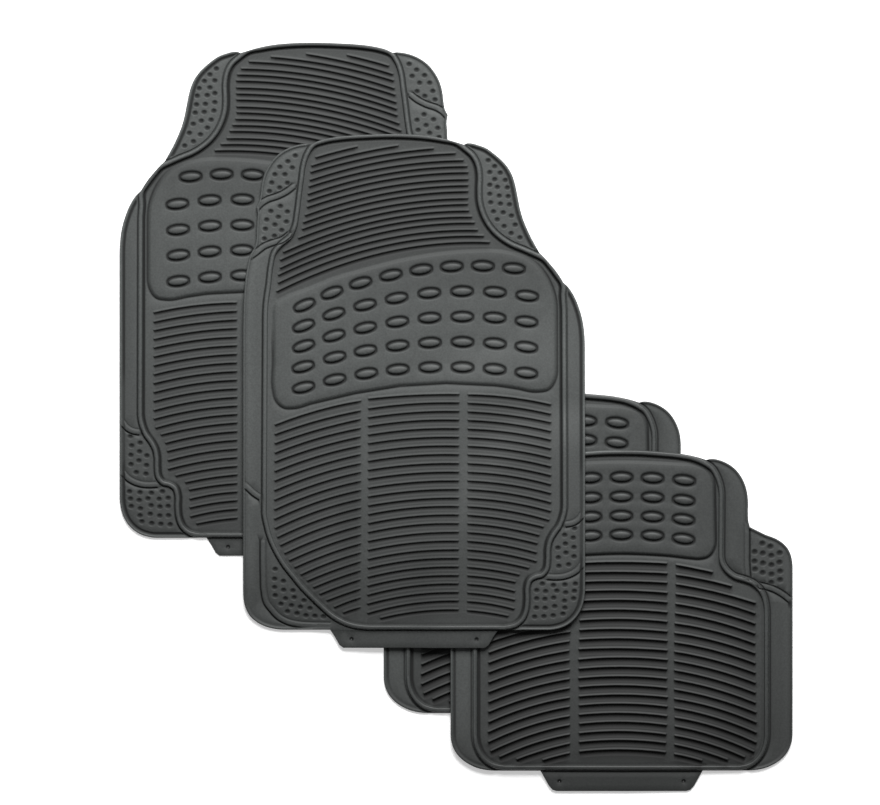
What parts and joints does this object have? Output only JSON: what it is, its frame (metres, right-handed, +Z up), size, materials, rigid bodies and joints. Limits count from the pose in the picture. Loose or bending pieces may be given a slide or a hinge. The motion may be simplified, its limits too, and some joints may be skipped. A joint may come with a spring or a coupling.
{
  "type": "car floor mat set",
  "caption": "Set of moulded rubber car floor mats: mirrored front mats and equal rear mats with ribbed fields, oval stud panels, side lobes and anchor tabs, laid overlapping.",
  "frame": {"origin": "bottom centre of the whole overlapping set, on the floor", "axes": "+X across the set, +Y towards the noses of the mats, +Z up from the floor"},
  "size_m": [0.9007, 1.0018, 0.0264],
  "materials": {
    "rubber": "moulded matte rubber, fine grain, dark neutral grey"
  },
  "bodies": {
    "front_left": {"front_mat_left": "rubber"},
    "rear_left": {"rear_mat_left": "rubber"},
    "rear_right": {"rear_mat_right": "rubber"},
    "front_right": {"front_mat_right": "rubber"}
  },
  "joints": [
    {"name": "rear_left_lift", "type": "slide", "parent": "front_left", "child": "rear_left", "axis": [0, 0, 1], "range_m": [0, 0.25]},
    {"name": "rear_right_lift", "type": "slide", "parent": "rear_left", "child": "rear_right", "axis": [0, 0, 1], "range_m": [0, 0.25]},
    {"name": "front_right_lift", "type": "slide", "parent": "rear_right", "child": "front_right", "axis": [0, 0, 1], "range_m": [0, 0.25]}
  ]
}
